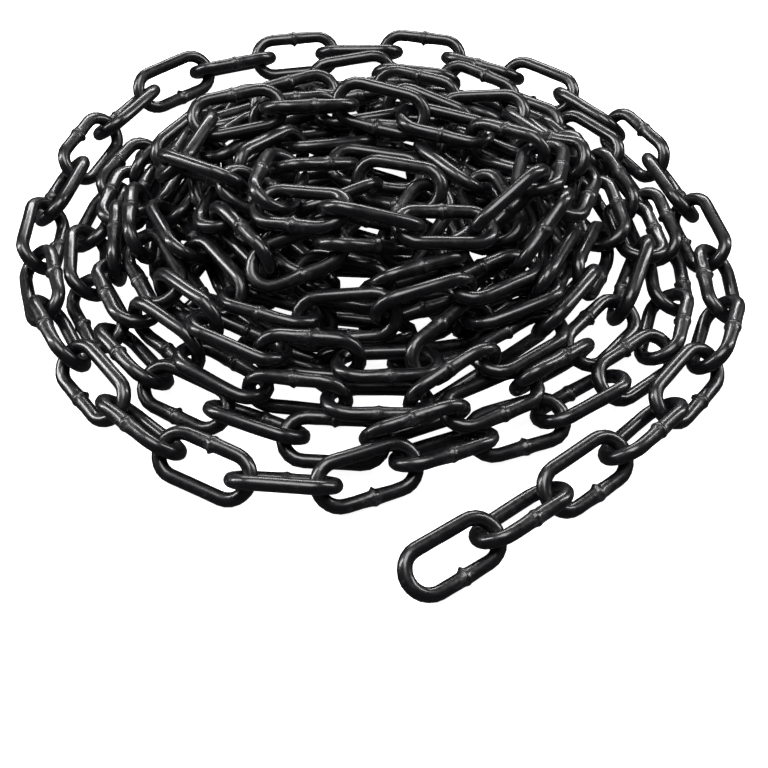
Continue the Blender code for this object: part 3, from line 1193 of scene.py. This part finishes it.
@dataclass
class Studio:
    """Floor, backdrop, soft lights and camera."""

    floor_half: float = 6.0
    floor_level: float = -0.0004
    wall_radius: float = 5.9
    wall_height: float = 4.0
    wall_sides: int = 64
    camera_target: Point = (5.73, -69.22, 0.0)
    camera_distance: float = 500.0
    camera_height: float = 46.5
    camera_lens: float = 66.8
    sky: float = 0.05

    def floor(self) -> None:
        """Lays a wide plain floor under the heap."""
        signs = ((-1.0, -1.0), (1.0, -1.0), (1.0, 1.0), (-1.0, 1.0))
        corners = [(x * self.floor_half, y * self.floor_half, self.floor_level) for x, y in signs]
        floor = new_mesh("studio_floor", np.array(corners), np.array([[0, 1, 2, 3]]))
        floor.data.materials.append(LitPaperFloor().make())
        floor.visible_glossy = False
        floor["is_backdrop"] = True

    def backdrop(self) -> None:
        """Stands a pale wall round the floor, a circle carried straight up, so that a
        low view meets pale paper too. It is seen by the camera and lights nothing."""
        sides = self.wall_sides
        here = np.arange(sides)
        after = (here + 1) % sides
        angle = 2.0 * math.pi * here / sides
        rim = np.stack([np.cos(angle), np.sin(angle)], 1) * self.wall_radius
        low = np.column_stack([rim, np.full(sides, self.floor_level)])
        high = np.column_stack([rim, np.full(sides, self.wall_height)])
        faces = np.stack([after, here, here + sides, after + sides], 1)
        wall = new_mesh("studio_backdrop", np.concatenate([low, high]), faces)
        paper = LitPaperFloor(name="white_paper_backdrop").make()
        paper.cycles.emission_sampling = "NONE"
        wall.data.materials.append(paper)
        wall.visible_glossy = False
        wall.visible_diffuse = False
        wall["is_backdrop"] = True

    def softbox(
        self, name: str, place: Point, size: Tuple[float, float], power: float
    ) -> None:
        """Hangs a rectangular soft light that points at the middle of the heap.

        Args:
            name: Name of the light.
            place: Where it hangs, in metres.
            size: Width and height, in metres.
            power: Strength in watts.
        """
        data = bpy.data.lights.new(name, "AREA")
        data.shape = "RECTANGLE"
        data.size, data.size_y = size
        data.energy = power
        lamp = bpy.data.objects.new(name, data)
        bpy.context.collection.objects.link(lamp)
        lamp.location = place
        way = Vector((0.0, 0.0, 0.0)) - Vector(place)
        lamp.rotation_euler = way.to_track_quat("-Z", "Y").to_euler()

    def lights(self) -> None:
        """Sets the sky and the softboxes."""
        world = bpy.data.worlds.new("studio_sky")
        world.use_nodes = True
        world.node_tree.nodes["Background"].inputs[0].default_value = (1.0, 1.0, 1.0, 1.0)
        world.node_tree.nodes["Background"].inputs[1].default_value = self.sky
        bpy.context.scene.world = world
        self.softbox("top_softbox", (-0.10, -0.15, 1.1), (0.8, 0.5), 13.0)
        self.softbox("left_strip", (-1.0, 0.10, 0.60), (0.16, 0.9), 12.0)
        self.softbox("right_strip", (1.0, 0.25, 0.70), (0.16, 0.9), 10.0)
        self.softbox("back_strip", (0.0, 1.10, 0.75), (1.2, 0.16), 14.0)

    def camera(self) -> None:
        """Sets the camera at the photographed angle."""
        data = bpy.data.cameras.new("photo_camera")
        data.sensor_width = 36.0
        data.lens = self.camera_lens
        data.clip_start, data.clip_end = 0.01, 50.0
        camera = bpy.data.objects.new("photo_camera", data)
        bpy.context.collection.objects.link(camera)
        angle = math.radians(self.camera_height)
        target = Vector(self.camera_target) * MM
        back = Vector((0.0, -math.cos(angle), math.sin(angle))) * self.camera_distance * MM
        camera.location = target + back
        camera.rotation_euler = (-back).to_track_quat("-Z", "Y").to_euler()
        bpy.context.scene.camera = camera

    def build(self) -> None:
        """Sets up the whole studio."""
        self.floor()
        self.backdrop()
        self.lights()
        self.camera()
        bpy.context.scene.view_settings.view_transform = "Standard"


def box_of(bounds: Tuple[Vector, Vector]) -> List[List[float]]:
    """A box as plain lists of numbers."""
    return [[float(value) for value in corner] for corner in bounds]


def main() -> None:
    logging.basicConfig(level=logging.INFO, format="%(name)s %(message)s")
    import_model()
    solids = box_of(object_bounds())
    room = np.array(solids)
    link = LinkSize()
    finish = BlackLacqueredSteel().make()
    shown = Settling(link).run(ChainRoute(link).start())
    LOG.info("visible chain: %d links at rest", len(shown[0]))
    LinkPieces(link, shown, finish, room).build()
    keep_in = Settling(link, inside_core=True, core_margin=2.9, passes=700, fall=0.1,
                       fall_until=250, fall_fade=150, let_go=300, held_links=0)
    hidden = keep_in.run(BuriedRoute(link).start())
    BuriedPieces(link, hidden, finish, room).build()
    Studio().build()


if __name__ == "__main__":
    main()
